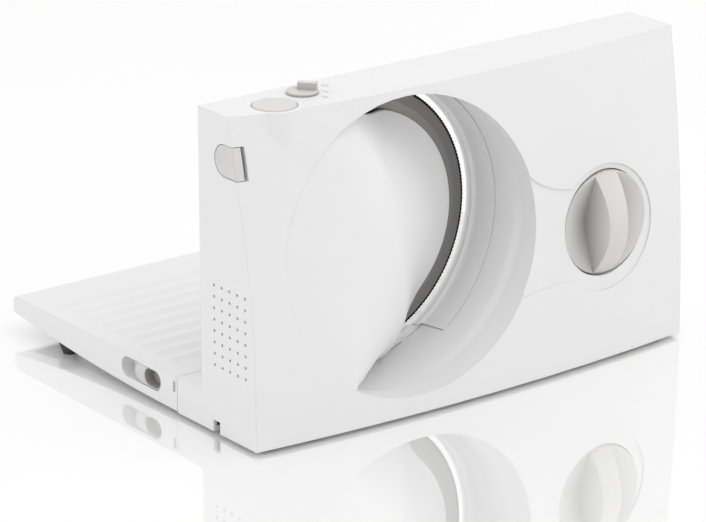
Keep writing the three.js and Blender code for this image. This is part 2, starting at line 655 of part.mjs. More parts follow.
// Food side of the wall, with the well that the blade turns in and the boss that carries its shaft
function rearPanel() {
  const edge = HALF - SHELL - GAP;
  const wellR = BLADE_R + WELL_GAP;
  const bossR = SHAFT_R + BUSH_WALL + 2 * GAP;
  const bossEnd = -WELL_DEPTH - BUSH_LENGTH;
  const well = lathe('y', BLADE_X, BLADE_Z, [[0, -WELL_DEPTH], [wellR + SHELL, -WELL_DEPTH],
    [wellR + SHELL, -PANEL / 2], [wellR, -PANEL / 2], [wellR, -WELL_DEPTH + SHELL],
    [0, -WELL_DEPTH + SHELL]], 48)
    .subtract(prism('y', openOutline(WELL_INSET), -WELL_DEPTH - 1, FAR));
  let panel = box(-edge, edge, -PANEL, 0, LEDGE_HEIGHT + GAP, TOP - SHELL - GAP)
    .subtract(bar('y', BLADE_X, BLADE_Z, wellR, -FAR, FAR, 48))
    .add(well)
    .subtract(prism('y', stopOutline(BLADE_R - SHELL, RUN), -FAR, FAR))
    .add(bar('y', BLADE_X, BLADE_Z, bossR + SHELL, bossEnd, -WELL_DEPTH + SHELL))
    .subtract(bar('y', BLADE_X, BLADE_Z, bossR, bossEnd - 1, -WELL_DEPTH))
    .subtract(bar('y', BLADE_X, BLADE_Z, SHAFT_R + GAP, bossEnd - 1, FAR));
  for (const [x, z] of screwSpots) {
    panel = panel.subtract(bar('y', x, z, SCREW_R + GAP, -PANEL - 1, 1))
      .subtract(bar('y', x, z, SCREW_HEAD_R + GAP, -PANEL + 1, 1));
  }
  const half = SWITCH_SIZE[0] / 2 + 1;
  const shelf = box(BUTTON_X - half, BUTTON_X + half, BUTTON_Y - SWITCH_SIZE[1] / 2, -PANEL / 2,
    switchZ() - SHELL - GAP, switchZ() - GAP);
  return panel.add(shelf);
}

function basePlate() {
  const inside = SHELL + GAP;
  let plate = faceBlock(inside, FOOT_GAP, FOOT_GAP + BASE, inside, LEDGE_DEPTH - inside, 11, 1);
  for (const [x, y] of baseSpots) {
    plate = plate.subtract(bar('z', x, y, SCREW_R + GAP, 0, FAR))
      .subtract(bar('z', x, y, SCREW_HEAD_R + GAP, 0, FOOT_GAP + BASE - 1));
  }
  for (const [x, y] of footSpots()) plate = plate.subtract(bar('z', x, y, FOOT_STEM_R + GAP, 0, FAR));
  const cord = box(LEFT, LEFT + FAR, CORD_Y - CORD_WIDTH / 2, CORD_Y + CORD_WIDTH / 2, 0, CORD_TOP);
  return plate.subtract(cord);
}

function footSpots() {
  return [LEFT + FOOT_INSET, HALF - FOOT_INSET].flatMap((x) => [
    [x, FOOT_R + 2 * SHELL - FACE_DEPTH], [x, LEDGE_DEPTH - SHELL - FOOT_R - 1]]);
}

// Blade and what turns with it
function blade() {
  const [front, back] = [-BLADE_SINK - BLADE_THICK, -BLADE_SINK];
  return lathe('y', BLADE_X, BLADE_Z, [[SHAFT_R + GAP, front], [BLADE_R - BLADE_BEVEL, front],
    [BLADE_R, back - BLADE_THICK / 4], [BLADE_R, back], [SHAFT_R + GAP, back], [SHAFT_R + GAP, front]], 64);
}

function bladeCap() {
  const seat = GAP - BLADE_SINK;
  return lathe('y', BLADE_X, BLADE_Z, [[0, seat], [CAP_R, seat], [CAP_R, seat + CHAMFER],
    [CAP_R - 2 * CHAMFER, seat + CAP_THICK], [0, seat + CAP_THICK]]);
}

function bladeGear() {
  const points = [];
  const [foot, tip] = [(TOOTH_WIDE * (1 + TOOTH_TAPER)) / 2, (TOOTH_WIDE * (1 - TOOTH_TAPER)) / 2];
  for (let tooth = 0; tooth < GEAR_TEETH; tooth += 1) {
    const middle = ((tooth + 0.5) / GEAR_TEETH) * 2 * Math.PI - Math.PI / 2;
    const corners = [[GEAR_R - TOOTH_HALF, -foot], [GEAR_R + TOOTH_HALF, -tip], [GEAR_R + TOOTH_HALF, tip],
      [GEAR_R - TOOTH_HALF, foot]];
    for (const [r, half] of corners) {
      const angle = middle + half / GEAR_R;
      points.push([BLADE_X + r * Math.cos(angle), BLADE_Z + r * Math.sin(angle)]);
    }
  }
  return prism('y', polygon(points), DRIVE_Y - GEAR_WIDTH / 2, DRIVE_Y + GEAR_WIDTH / 2)
    .subtract(bar('y', BLADE_X, BLADE_Z, SHAFT_R + GAP, -4 * FAR, 0));
}

// Single-start worm: a thread swept along a helix on a core, facing a gap of the gear at its middle
function worm() {
  const lead = Math.PI * MODULE;
  const [steps, length] = [12, WORM_TURNS * lead];
  const [core, tip] = [WORM_R - TOOTH_HALF, WORM_R + TOOTH_HALF];
  const [wide, narrow] = [(TOOTH_WIDE * (1 + TOOTH_TAPER)) / 2, (TOOTH_WIDE * (1 - TOOTH_TAPER)) / 2];
  const section = [[core - 1, -wide], [tip, -narrow], [tip, narrow], [core - 1, wide]];
  const [positions, index] = [[], []];
  const count = WORM_TURNS * steps;
  for (let i = 0; i <= count; i += 1) {
    const turn = i / steps - WORM_TURNS / 2;
    const angle = Math.PI / 2 - turn * 2 * Math.PI;
    for (const [r, aside] of section) {
      const x = BLADE_X + turn * lead + aside;
      positions.push(x, DRIVE_Y + r * Math.cos(angle), MOTOR_Z + r * Math.sin(angle));
    }
    for (let side = 0; side < 4 && i < count; side += 1) {
      const [a, b] = [i * 4 + side, i * 4 + ((side + 1) % 4)];
      index.push(a, a + 4, b, b, a + 4, b + 4);
    }
  }
  const last = count * 4;
  index.push(0, 1, 2, 0, 2, 3, last, last + 2, last + 1, last, last + 3, last + 2);
  const thread = new THREE.BufferGeometry();
  thread.setAttribute('position', new THREE.Float32BufferAttribute(positions, 3));
  thread.setIndex(index);
  const end = length / 2 + TOOTH_WIDE;
  return bar('x', DRIVE_Y, MOTOR_Z, core, BLADE_X - end, BLADE_X + end, 16)
    .add(solid(thread))
    .subtract(bar('x', DRIVE_Y, MOTOR_Z, MOTOR_SHAFT_R + GAP, BLADE_X - FAR, BLADE_X + FAR, 12));
}

const motorStart = LEFT + MOTOR_FROM_END;
const motorEnd = motorStart + MOTOR_LENGTH;
const wormEnd = BLADE_X + (WORM_TURNS * Math.PI * MODULE) / 2 + TOOTH_WIDE;

function motorFan() {
  const end = motorStart - GAP - RUN;
  let fan = tube('x', DRIVE_Y, MOTOR_Z, MOTOR_SHAFT_R + GAP, MOTOR_SHAFT_R * 2, end - FAN_WIDTH, end, 16)
    .add(tube('x', DRIVE_Y, MOTOR_Z, MOTOR_SHAFT_R + GAP, FAN_R, end - FAN_WALL, end, 24));
  for (let i = 0; i < FAN_BLADES; i += 1) {
    const vane = new THREE.BoxGeometry(FAN_WIDTH, FAN_WALL, FAN_R - MOTOR_SHAFT_R * 1.5);
    vane.translate(end - FAN_WIDTH / 2, 0, (FAN_R + MOTOR_SHAFT_R * 1.5) / 2 - GAP);
    vane.rotateX((i / FAN_BLADES) * 2 * Math.PI).translate(0, DRIVE_Y, MOTOR_Z);
    fan = fan.add(solid(vane));
  }
  return fan;
}

function motorBracket(x) {
  const bottom = FOOT_GAP + BASE + GAP;
  const top = MOTOR_Z - MOTOR_R / 3;
  return box(x, x + BRACKET, DRIVE_Y - MOTOR_R - SHELL, -WELL_DEPTH - 2 * RUN, bottom, top)
    .subtract(bar('x', DRIVE_Y, MOTOR_Z, MOTOR_R + GAP, x - 1, x + BRACKET + 1, 28));
}

function wormBearing() {
  const x = wormEnd + RUN;
  const half = MOTOR_SHAFT_R + SHELL + 1;
  return box(x, x + BRACKET, DRIVE_Y - half, -WELL_DEPTH - GAP, MOTOR_Z - half, MOTOR_Z + half)
    .subtract(bar('x', DRIVE_Y, MOTOR_Z, MOTOR_SHAFT_R + GAP, x - 1, x + BRACKET + 1));
}

// Knob: a disc with a hollow cone for its face, a grip that is a slice of a dome, and a hub
function thicknessKnob() {
  const [back, floor, hubEnd] = [KNOB_RIM_Y + KNOB_RIM, KNOB_RIM_Y + KNOB_DISH, CAM_END_Y - 2];
  const side = (GRIP_FOOT - GRIP_TOP) / GRIP_HEIGHT;
  const disc = lathe('y', KNOB_X, KNOB_Z, [[0, hubEnd], [HUB_R, hubEnd], [HUB_R, back], [KNOB_R, back],
    [KNOB_R, KNOB_RIM_Y + CHAMFER], [KNOB_R - CHAMFER, KNOB_RIM_Y], [GRIP_FOOT + side * KNOB_DISH, floor],
    [0, floor]], 40);
  const dome = [[0, floor + 1], [KNOB_R - 2 * CHAMFER, floor + 1]];
  for (let i = 0; i <= 5; i += 1) {
    const r = (KNOB_R - CHAMFER) * (1 - i / 5);
    dome.push([r, KNOB_RIM_Y - GRIP_HEIGHT * (1 - (r / (KNOB_R - CHAMFER)) ** 2)]);
  }
  const [low, high] = [KNOB_RIM_Y + 2 * KNOB_DISH, KNOB_RIM_Y - GRIP_HEIGHT - 1];
  const [wide, narrow] = [GRIP_FOOT + side * 2 * KNOB_DISH, GRIP_TOP - side];
  const slice = polygon([[KNOB_X - wide, low], [KNOB_X + wide, low], [KNOB_X + narrow, high],
    [KNOB_X - narrow, high]]);
  const grip = lathe('y', KNOB_X, KNOB_Z, dome, 32)
    .intersect(prism('z', slice, KNOB_Z - KNOB_R, KNOB_Z + KNOB_R));
  return disc.add(grip);
}

// Stop plate, with a curved lip that slides inside the outlet wall
function stopPlate() {
  const outline = stopOutline(BLADE_R + SLICE_GAP, 0);
  const lipR = outletAt(STOP_BACK_Y - RUN).radius - LIP_GAP;
  const [inner, root] = [lipR - LIP_WALL, 1 - STOP_THICK];
  const lip = lathe('y', BLADE_X, BLADE_Z, [[inner, root], [inner, -STOP_THICK], [lipR - LIP_EDGE, LIP_END_Y],
    [lipR, LIP_END_Y], [lipR, root], [inner, root]], 64)
    .intersect(prism('y', outline, LIP_END_Y - 1, 0, 24));
  let plate = prism('y', outline, -STOP_THICK, 0, 24).add(lip);
  for (const [x, z] of rodSpots) {
    const outer = ROD_R + RUN + SLEEVE_WALL;
    plate = plate.add(tube('y', x, z, ROD_R + RUN, outer, sleeveEndY, -STOP_THICK + 1));
  }
  const side = KNOB_X + CAM_R + RUN;
  return plate.add(box(side, side + 2 * SHELL, CAM_START_Y + STOP_TRAVEL, -STOP_THICK + 1,
    KNOB_Z - FOLLOWER_HALF, KNOB_Z + FOLLOWER_HALF));
}

// Controls
function switchZ() {
  const stemBottom = TOP - SHELL - GAP - FLANGE_THICK - BUTTON_STEM;
  return stemBottom - BUTTON_TRAVEL - GAP - SWITCH_SIZE[2];
}

function powerSwitch() {
  const [long, wide, high] = SWITCH_SIZE;
  return box(BUTTON_X - long / 2, BUTTON_X + long / 2, BUTTON_Y - wide / 2, BUTTON_Y + wide / 2,
    switchZ(), switchZ() + high);
}

function powerButton() {
  const shoulder = TOP - SHELL - GAP;
  const [under, top] = [shoulder - FLANGE_THICK, TOP + BUTTON_PROUD];
  const flange = BUTTON_R + BUTTON_RIM - SHELL - RUN;
  return lathe('z', BUTTON_X, BUTTON_Y, [[0, under - BUTTON_STEM], [BUTTON_STEM_R, under - BUTTON_STEM],
    [BUTTON_STEM_R, under], [flange, under], [flange, shoulder], [BUTTON_R, shoulder],
    [BUTTON_R, top - CHAMFER], [BUTTON_R - CHAMFER, top], [BUTTON_R / 2, top - BUTTON_DISH * 0.75],
    [0, top - BUTTON_DISH]], 28);
}

function powerSpring() {
  const bottom = switchZ() + SWITCH_SIZE[2] + GAP + SPRING_WIRE_R;
  const top = TOP - SHELL - 2 * GAP - FLANGE_THICK - SPRING_WIRE_R;
  const points = [];
  for (let i = 0; i <= SPRING_TURNS * 8; i += 1) {
    const angle = (i / 8) * 2 * Math.PI;
    const z = bottom + ((top - bottom) * i) / (SPRING_TURNS * 8);
    const [x, y] = [BUTTON_X + SPRING_R * Math.cos(angle), BUTTON_Y + SPRING_R * Math.sin(angle)];
    points.push(new THREE.Vector3(x, y, z));
  }
  const wire = new THREE.Shape().absarc(0, 0, SPRING_WIRE_R, 0, 2 * Math.PI, false);
  const extrudePath = new THREE.CatmullRomCurve3(points);
  return solid(new THREE.ExtrudeGeometry(wire, { extrudePath, steps: SPRING_TURNS * 8, curveSegments: 3 }));
}

function modeSelector() {
  const [bottom, top] = [TOP - SELECTOR_STEM, TOP + SELECTOR_THICK];
  const disc = lathe('z', SELECTOR_X, SELECTOR_Y, [[0, bottom], [BUTTON_STEM_R, bottom],
    [BUTTON_STEM_R, TOP + GAP], [SELECTOR_R, TOP + GAP], [SELECTOR_R, top - CHAMFER],
    [SELECTOR_R - CHAMFER, top], [0, top]]);
  const [long, wide, high] = SELECTOR_GRIP;
  const grip = new THREE.BoxGeometry(long, wide, high + 1).translate(SELECTOR_SHIFT, wide / 2, 0);
  grip.rotateZ(radians(SELECTOR_ANGLE));
  grip.translate(SELECTOR_X, SELECTOR_Y, TOP + SELECTOR_THICK + (high - 1) / 2);
  return disc.add(solid(grip));
}

function selectorSwitch() {
  const [top, bottom] = [TOP - SHELL - GAP, TOP - SELECTOR_STEM - SHELL - GAP];
  const bore = BUTTON_STEM_R + RUN / 2;
  return lathe('z', SELECTOR_X, SELECTOR_Y, [[0, bottom], [SELECTOR_R - 1, bottom], [SELECTOR_R - 1, top],
    [bore, top], [bore, bottom + SHELL], [0, bottom + SHELL]], 16);
}

function safetyButton() {
  const flushBlock = faceBlock(GAP, FOOT_GAP, TOP, GAP, 0);
  const dishX = LEFT + SAFETY_DISH - SAFETY_DISH_R;
  return prism('x', safetyOutline(0), LEFT, LEFT + SAFETY_DEPTH)
    .intersect(flushBlock)
    .subtract(ball(dishX, SAFETY_Y, SAFETY_Z, SAFETY_DISH_R))
    .add(bar('x', SAFETY_Y, SAFETY_Z, SHELL, LEFT + SAFETY_DEPTH - 1, LEFT + 4 * SAFETY_DEPTH));
}

// Folding table
function tableUnder(y) {
  const share = (y - TABLE_FRONT) / TABLE_REACH;
  return TABLE_BOTTOM + (LEDGE_HEIGHT - TABLE_TIP - TABLE_BOTTOM) * share ** 2;
}

function tableOutline() {
  const shape = new THREE.Shape();
  shape.moveTo(TABLE_FRONT, TABLE_BOTTOM);
  shape.lineTo(TABLE_FRONT, AXIS_Z);
  shape.absarc(AXIS_Y, AXIS_Z, TABLE_NOSE, Math.PI, Math.PI / 2, true);
  shape.lineTo(TABLE_END - 2, LEDGE_HEIGHT);
  shape.lineTo(TABLE_END, LEDGE_HEIGHT - 2);
  for (let i = 8; i > 0; i -= 1) {
    const y = TABLE_FRONT + (TABLE_REACH * i) / 8;
    shape.lineTo(y, tableUnder(y));
  }
  return shape;
}

// Wave ribs on the table top: a shallow cut with a scalloped floor
function ribCut() {
  const start = TABLE_FRONT + RIB_START;
  const steps = RIB_COUNT * 6;
  const points = [[start, LEDGE_HEIGHT + 1]];
  for (let i = 0; i <= steps; i += 1) {
    const wave = (1 - Math.cos((i / 6) * 2 * Math.PI)) / 2;
    points.push([start + (RIB_PITCH * i) / 6, LEDGE_HEIGHT + 0.01 - RIB_DEPTH * wave]);
  }
  points.push([start + RIB_PITCH * RIB_COUNT, LEDGE_HEIGHT + 1]);
  return prism('x', polygon(points), LEFT + RIB_MARGIN, HALF - RIB_MARGIN);
}

function slotOutline(start, length, half) {
  const shape = new THREE.Shape();
  shape.absarc(start + half, SLOT_Z, half, Math.PI / 2, (3 * Math.PI) / 2, false);
  shape.absarc(start + length - half, SLOT_Z, half, -Math.PI / 2, Math.PI / 2, false);
  return shape;
}

const slotStart = TABLE_FRONT + SLOT_START;
const sliderTravel = SLOT_LENGTH - SLIDER_LENGTH - 2 * RUN;
const stemY = slotStart + SLIDER_LENGTH / 2;

function foldingTable() {
  const body = prism('x', tableOutline(), LEFT, HALF);
  const inside = WALL_LENGTH - 2 * TABLE_SIDE;
  const bay = (inside - (TABLE_BAYS - 1) * SHELL) / TABLE_BAYS;
  const roof = LEDGE_HEIGHT - TABLE_SKIN;
  let table = body.subtract(ribCut());
  for (let i = 0; i < TABLE_BAYS; i += 1) {
    const x = LEFT + TABLE_SIDE + i * (bay + SHELL);
    table = table.subtract(box(x, x + bay, AXIS_Y + 4 * TABLE_NOSE, TABLE_END - 2 * SHELL, 0, roof));
  }
  for (const [x, y] of tableFeet()) {
    table = table.add(bar('z', x, y, FOOT_R + SHELL, 0, roof + 1).intersect(body))
      .subtract(bar('z', x, y, FOOT_STEM_R + GAP, 0, roof - 1));
  }
  for (const side of [-1, 1]) {
    const [x, half, reach] = [earX(side), EAR_WIDTH / 2 + RUN, EAR_R + RUN + 1];
    const pinHalf = PIN_LENGTH / 2 + GAP;
    table = table.subtract(box(x - half, x + half, 0, AXIS_Y + reach, AXIS_Z - reach, LEDGE_HEIGHT + 1))
      .subtract(bar('x', AXIS_Y, AXIS_Z, PIN_R + PIN_GAP, x - pinHalf, x + pinHalf));
  }
  const slot = prism('x', slotOutline(slotStart, SLOT_LENGTH, SLOT_HALF), LEFT - 1, LEFT + SLOT_DEPTH);
  const [stemLong, stemHigh] = [SLIDER_STEM[0] / 2 + RUN, SLIDER_STEM[1] / 2 + RUN];
  const stemSlot = box(LEFT, LEFT + TABLE_SIDE + 1, stemY - stemLong, stemY + stemLong + sliderTravel + RUN,
    SLOT_Z - stemHigh, SLOT_Z + stemHigh);
  const [notchX, notchY, notchZ] = NOTCH;
  const [near, far] = [AXIS_Y - notchY / 2, AXIS_Y + notchY / 2];
  for (const x of [LEFT, HALF - notchX]) {
    table = table.subtract(box(x, x + notchX, near, far, AXIS_Z - notchZ, AXIS_Z));
  }
  return table.subtract(slot).subtract(stemSlot);
}

function tableFeet() {
  const inset = TABLE_FOOT_EDGE + FOOT_R;
  return [LEFT + inset, HALF - inset].map((x) => [x, TABLE_END - TABLE_FOOT_FROM_END]);
}

function tableSlider() {
  const face = LEFT + SLOT_DEPTH - GAP - SLIDER_THICK;
  const half = SLOT_HALF - RUN / 2;
  const thumb = slotOutline(slotStart + RUN + THUMB_RIM, THUMB_LENGTH, half - THUMB_RIM);
  const [long, high] = [SLIDER_STEM[0] / 2, SLIDER_STEM[1] / 2];
  return prism('x', slotOutline(slotStart + RUN, SLIDER_LENGTH, half), face, face + SLIDER_THICK)
    .subtract(prism('x', thumb, face - 1, face + THUMB_DEPTH))
    .add(box(face + SLIDER_THICK - 1, LEFT + TABLE_SIDE, stemY - long, stemY + long,
      SLOT_Z - high, SLOT_Z + high));
}

// Small repeated pieces, each made once at the origin and placed by its mesh
function screw() {
  const [tip, head] = [-SCREW_LENGTH, GAP + 1 - PANEL];
  return lathe('y', 0, 0, [[0, tip], [SCREW_R, tip], [SCREW_R, head], [SCREW_HEAD_R, head],
    [SCREW_HEAD_R, -GAP], [0, -GAP]], 10);
}

function bodyFoot() {
  const [seat, top] = [FOOT_GAP - GAP, FOOT_GAP + BASE - GAP];
  return lathe('z', 0, 0, [[0, 0], [FOOT_R - CHAMFER, 0], [FOOT_R, CHAMFER], [FOOT_R, seat],
    [FOOT_STEM_R, seat], [FOOT_STEM_R, top], [0, top]], 14);
}

function tableFoot() {
  const seat = tableUnder(TABLE_END - TABLE_FOOT_FROM_END - FOOT_R) - GAP;
  return lathe('z', 0, 0, [[0, 0], [TABLE_FOOT_TIP, 0], [FOOT_R, seat - CHAMFER], [FOOT_R, seat],
    [FOOT_STEM_R, seat], [FOOT_STEM_R, seat + 2 * SHELL], [0, seat + 2 * SHELL]], 14);
}

// Finishes
function finish(color, roughness, metalness = 0) {
  return () => new THREE.MeshStandardMaterial({ color, roughness, metalness });
}
const white = finish(0xeceded, 0.4);
const grey = finish(0xcfcdca, 0.45);
const steel = finish(0x8c8c8c, 0.3, 1);
const bright = finish(0xb8b8ba, 0.35, 1);
const black = finish(0x161616, 0.8);
const natural = finish(0xe6e0d0, 0.5);
const brass = finish(0xb08d4a, 0.35, 1);

// Assembly, with the origin under the middle of the whole object
const slicer = new THREE.Group();
slicer.position.y = (GRIP_HEIGHT - KNOB_RIM_Y - TABLE_END) / 2;

function add(name, piece, material, at = [0, 0, 0]) {
  const mesh = new THREE.Mesh(toGeometry(piece), material());
  mesh.name = name;
  mesh.position.set(...at);
  slicer.add(mesh);
  return mesh;
}

add('main_housing', mainHousing(), white);
add('rear_panel', rearPanel(), white);
add('base_plate', basePlate(), white);
add('blade', blade(), steel);
add('blade_shaft', bar('y', BLADE_X, BLADE_Z, SHAFT_R, DRIVE_Y - GEAR_WIDTH / 2, -BLADE_SINK, 16), bright);
add('blade_cap', bladeCap(), grey);
add('bearing_bush', tube('y', BLADE_X, BLADE_Z, SHAFT_R + GAP, SHAFT_R + BUSH_WALL + GAP,
  -WELL_DEPTH - BUSH_LENGTH, -WELL_DEPTH - GAP, 16), brass);
add('blade_gear', bladeGear(), natural);
add('motor', tube('x', DRIVE_Y, MOTOR_Z, MOTOR_SHAFT_R + RUN, MOTOR_R, motorStart, motorEnd, 28), bright);
add('motor_shaft', bar('x', DRIVE_Y, MOTOR_Z, MOTOR_SHAFT_R, motorStart - GAP - RUN - FAN_WIDTH,
  wormEnd + RUN + BRACKET, 12), steel);
add('worm', worm(), steel);
add('worm_bearing', wormBearing(), brass);
add('motor_fan', motorFan(), natural);
add('motor_bracket_left', motorBracket(motorStart + BRACKET), natural);
add('motor_bracket_right', motorBracket(motorEnd - MOTOR_LENGTH / 3), natural);
add('thickness_knob', thicknessKnob(), grey);
add('cam_drum', tube('y', KNOB_X, KNOB_Z, HUB_R + GAP, CAM_R, CAM_START_Y, CAM_END_Y), natural);
add('stop_plate', stopPlate(), white);
rodSpots.forEach(([x, z], i) => {
  const rod = bar('y', 0, 0, ROD_R, faceY(x, z) + SHELL + GAP, STOP_BACK_Y - 2, 16);
  add(['guide_rod_upper', 'guide_rod_lower'][i], rod, bright, [x, 0, z]);
});
add('power_button', powerButton(), grey);
add('power_spring', powerSpring(), bright);
add('power_switch', powerSwitch(), black);
add('mode_selector', modeSelector(), grey);
add('selector_switch', selectorSwitch(), black);
add('safety_button', safetyButton(), grey);
add('folding_table', foldingTable(), white);
add('table_slider', tableSlider(), grey);
for (const [side, name] of [[-1, 'left'], [1, 'right']]) {
  const pin = bar('x', 0, 0, PIN_R, -PIN_LENGTH / 2, PIN_LENGTH / 2, 12);
  add(`hinge_pin_${name}`, pin, steel, [earX(side), AXIS_Y, AXIS_Z]);
}
tableFeet().forEach(([x, y], i) => add(`table_foot_${i + 1}`, tableFoot(), black, [x, y, 0]));
footSpots().forEach(([x, y], i) => add(`body_foot_${i + 1}`, bodyFoot(), black, [x, y, 0]));
screwSpots.forEach(([x, z], i) => add(`rear_screw_${i + 1}`, screw(), bright, [x, 0, z]));
baseSpots.forEach(([x, y], i) => {
  const mesh = add(`base_screw_${i + 1}`, screw(), bright, [x, y, FOOT_GAP]);
  mesh.rotation.x = -Math.PI / 2;
});

export default slicer;
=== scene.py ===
"""Looks of the folding food slicer: finishes, serrated blade, selector marks, studio and camera.

Lengths are in metres, in the frame of the CAD model.
"""
import json
import math

import bmesh
import bpy
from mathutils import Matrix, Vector


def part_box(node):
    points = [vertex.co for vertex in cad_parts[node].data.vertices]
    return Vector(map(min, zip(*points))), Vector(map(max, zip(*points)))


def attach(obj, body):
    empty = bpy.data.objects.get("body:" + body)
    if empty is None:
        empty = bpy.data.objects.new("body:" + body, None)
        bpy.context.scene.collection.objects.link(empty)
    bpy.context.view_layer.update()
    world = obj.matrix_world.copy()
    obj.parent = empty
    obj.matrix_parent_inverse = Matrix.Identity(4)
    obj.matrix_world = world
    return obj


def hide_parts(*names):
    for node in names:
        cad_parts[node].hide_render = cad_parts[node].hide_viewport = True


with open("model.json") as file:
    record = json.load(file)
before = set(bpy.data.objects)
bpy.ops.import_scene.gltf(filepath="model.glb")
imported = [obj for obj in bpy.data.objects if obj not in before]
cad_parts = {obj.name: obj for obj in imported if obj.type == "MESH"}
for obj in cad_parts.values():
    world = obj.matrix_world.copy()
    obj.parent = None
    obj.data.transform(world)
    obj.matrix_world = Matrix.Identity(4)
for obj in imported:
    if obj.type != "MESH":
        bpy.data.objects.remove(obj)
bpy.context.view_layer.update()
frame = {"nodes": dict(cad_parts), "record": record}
nodes = frame["nodes"]
scene = bpy.context.scene
scene.view_settings.view_transform = "Standard"

# Serrated blade
BLADE_BORE = 0.0043
BLADE_BEVEL = 0.009  # width of the long bevel, from the blade's rim
BLADE_TEETH = 220
TOOTH_STEPS = 6  # points along each tooth
TOOTH_DEPTH = 0.0005
GROUND_EDGE = 0.0021  # width of the dark ground edge, from the blade's rim
GROUND_THICK = 0.25  # thickness where the ground edge starts, as a share of the blade's
TIP_THICK = 0.125  # and at the teeth

# Marks by the selector
MARK_HEIGHT = 0.0052
MARK_STROKE = 0.0008
MARK_PROUD = 0.00008  # above the top of the wall, and as far below it
MARK_PLACES = ((-0.0829, -0.0800), (-0.0898, -0.0901), (-0.0968, -0.0985))  # of 0, I and II
LOOP_HALF_WIDTH = 0.36  # of the 0, as a share of its height
LOOP_STEPS = 24

# Finishes
TONE_RAMP = (0.3, 0.7)  # noise values at which the darker tone ends and the lighter one starts
CLOUD_SCALE = 12.0  # slow change of tone over a moulding
GRAIN_SCALE = 900.0  # fine grain of moulded plastic
GRAIN_DEPTH = 0.0002
EDGE_SAMPLES = 6
# Painted shade in creases: samples and reach of the occlusion that darkens them
CREASE_SHADE_SAMPLES = 8
CREASE_SHADE_REACH = 0.02
STEEL_GRAIN_SCALE = 300.0
STEEL_EDGE = 0.0003
RING_SCALE = 900.0  # grinding rings on the blade
RIM_EDGE = 0.0001

# Shading of the CAD nodes
BEND_LIMIT = math.radians(32.0)  # sharper bends than this stay sharp
PLACE_DIGITS = 6

# Floor, world and lamps
FLOOR_SIZE = 8.0
FLOOR_Z = -0.0002
FLOOR_CLOUD_SCALE = 3.0
FLOOR_TONES = ((0.91, 0.91, 0.91), (0.93, 0.93, 0.93))
FLOOR_ROUGHNESS = 0.4
FLOOR_POLISH = 0.42  # share of mirror in the floor
POLISH_ROUGHNESS = 0.02
FLOOR_GLOW = 0.04  # seen by the camera alone
WHITE = (1.0, 1.0, 1.0, 1.0)
WORLD_LIGHT = 0.83  # on the object
WORLD_SEEN = 1.0  # by the camera and in reflections
LAMP_TARGET = (0.0, 0.0, 0.08)
LAMPS = (  # name, place, size and watts
    ("top_box", (0.1, -0.75, 1.9), 1.4, 6.7),
    ("front_box", (1.9, -0.9, 0.6), 1.2, 3.9),
    ("side_box", (-2.2, 1.0, 1.1), 1.6, 5.9),
)

# Camera, fitted to the straight edges in the photograph
CAMERA_PLACE = (-1.3388, -1.7489, 0.8268)
CAMERA_AZIMUTH = math.radians(37.41)  # of its line of sight, from +Y towards +X
CAMERA_ELEVATION = math.radians(19.40)
CAMERA_LENS = 190.05  # millimetres
CAMERA_SENSOR = 36.0  # millimetres
CAMERA_CLIP_END = 50.0


# Node helpers
def new_material(name):
    material = bpy.data.materials.new(name)
    material.use_nodes = True
    tree = material.node_tree
    return material, tree, tree.nodes["Principled BSDF"]


def link(tree, source, target):
    tree.links.new(source, target)


def noise(tree, scale, detail=3.0, stretch=(1.0, 1.0, 1.0)):
    place = tree.nodes.new("ShaderNodeTexCoord")
    mapping = tree.nodes.new("ShaderNodeMapping")
    mapping.inputs["Scale"].default_value = stretch
    texture = tree.nodes.new("ShaderNodeTexNoise")
    texture.inputs["Scale"].default_value = scale
    texture.inputs["Detail"].default_value = detail
    link(tree, place.outputs["Object"], mapping.inputs["Vector"])
    link(tree, mapping.outputs["Vector"], texture.inputs["Vector"])
    return texture.outputs["Fac"]


def ramp(tree, factor, low, high):
    """Colour from low to high as the factor rises."""
    node = tree.nodes.new("ShaderNodeValToRGB")
    for stop, position, color in zip(node.color_ramp.elements, TONE_RAMP, (low, high)):
        stop.position = position
        stop.color = (*color, 1.0)
    link(tree, factor, node.inputs["Fac"])
    return node.outputs["Color"]


def spread(tree, factor, low, high):
    """Number from low to high as the factor goes from 0 to 1."""
    node = tree.nodes.new("ShaderNodeMapRange")
    node.inputs["To Min"].default_value = low
    node.inputs["To Max"].default_value = high
    link(tree, factor, node.inputs["Value"])
    return node.outputs["Result"]


def soft_edges(tree, shader, radius, height, strength=0.05):
    """Rounds the look of hard edges, with a fine grain on top."""
    bevel = tree.nodes.new("ShaderNodeBevel")
    bevel.samples = EDGE_SAMPLES
    bevel.inputs["Radius"].default_value = radius
    bump = tree.nodes.new("ShaderNodeBump")
    bump.inputs["Strength"].default_value = strength
    bump.inputs["Distance"].default_value = GRAIN_DEPTH
    link(tree, height, bump.inputs["Height"])
    link(tree, bevel.outputs["Normal"], bump.inputs["Normal"])
    link(tree, bump.outputs["Normal"], shader.inputs["Normal"])


def shade(color, factor):
    return tuple(channel * factor for channel in color)


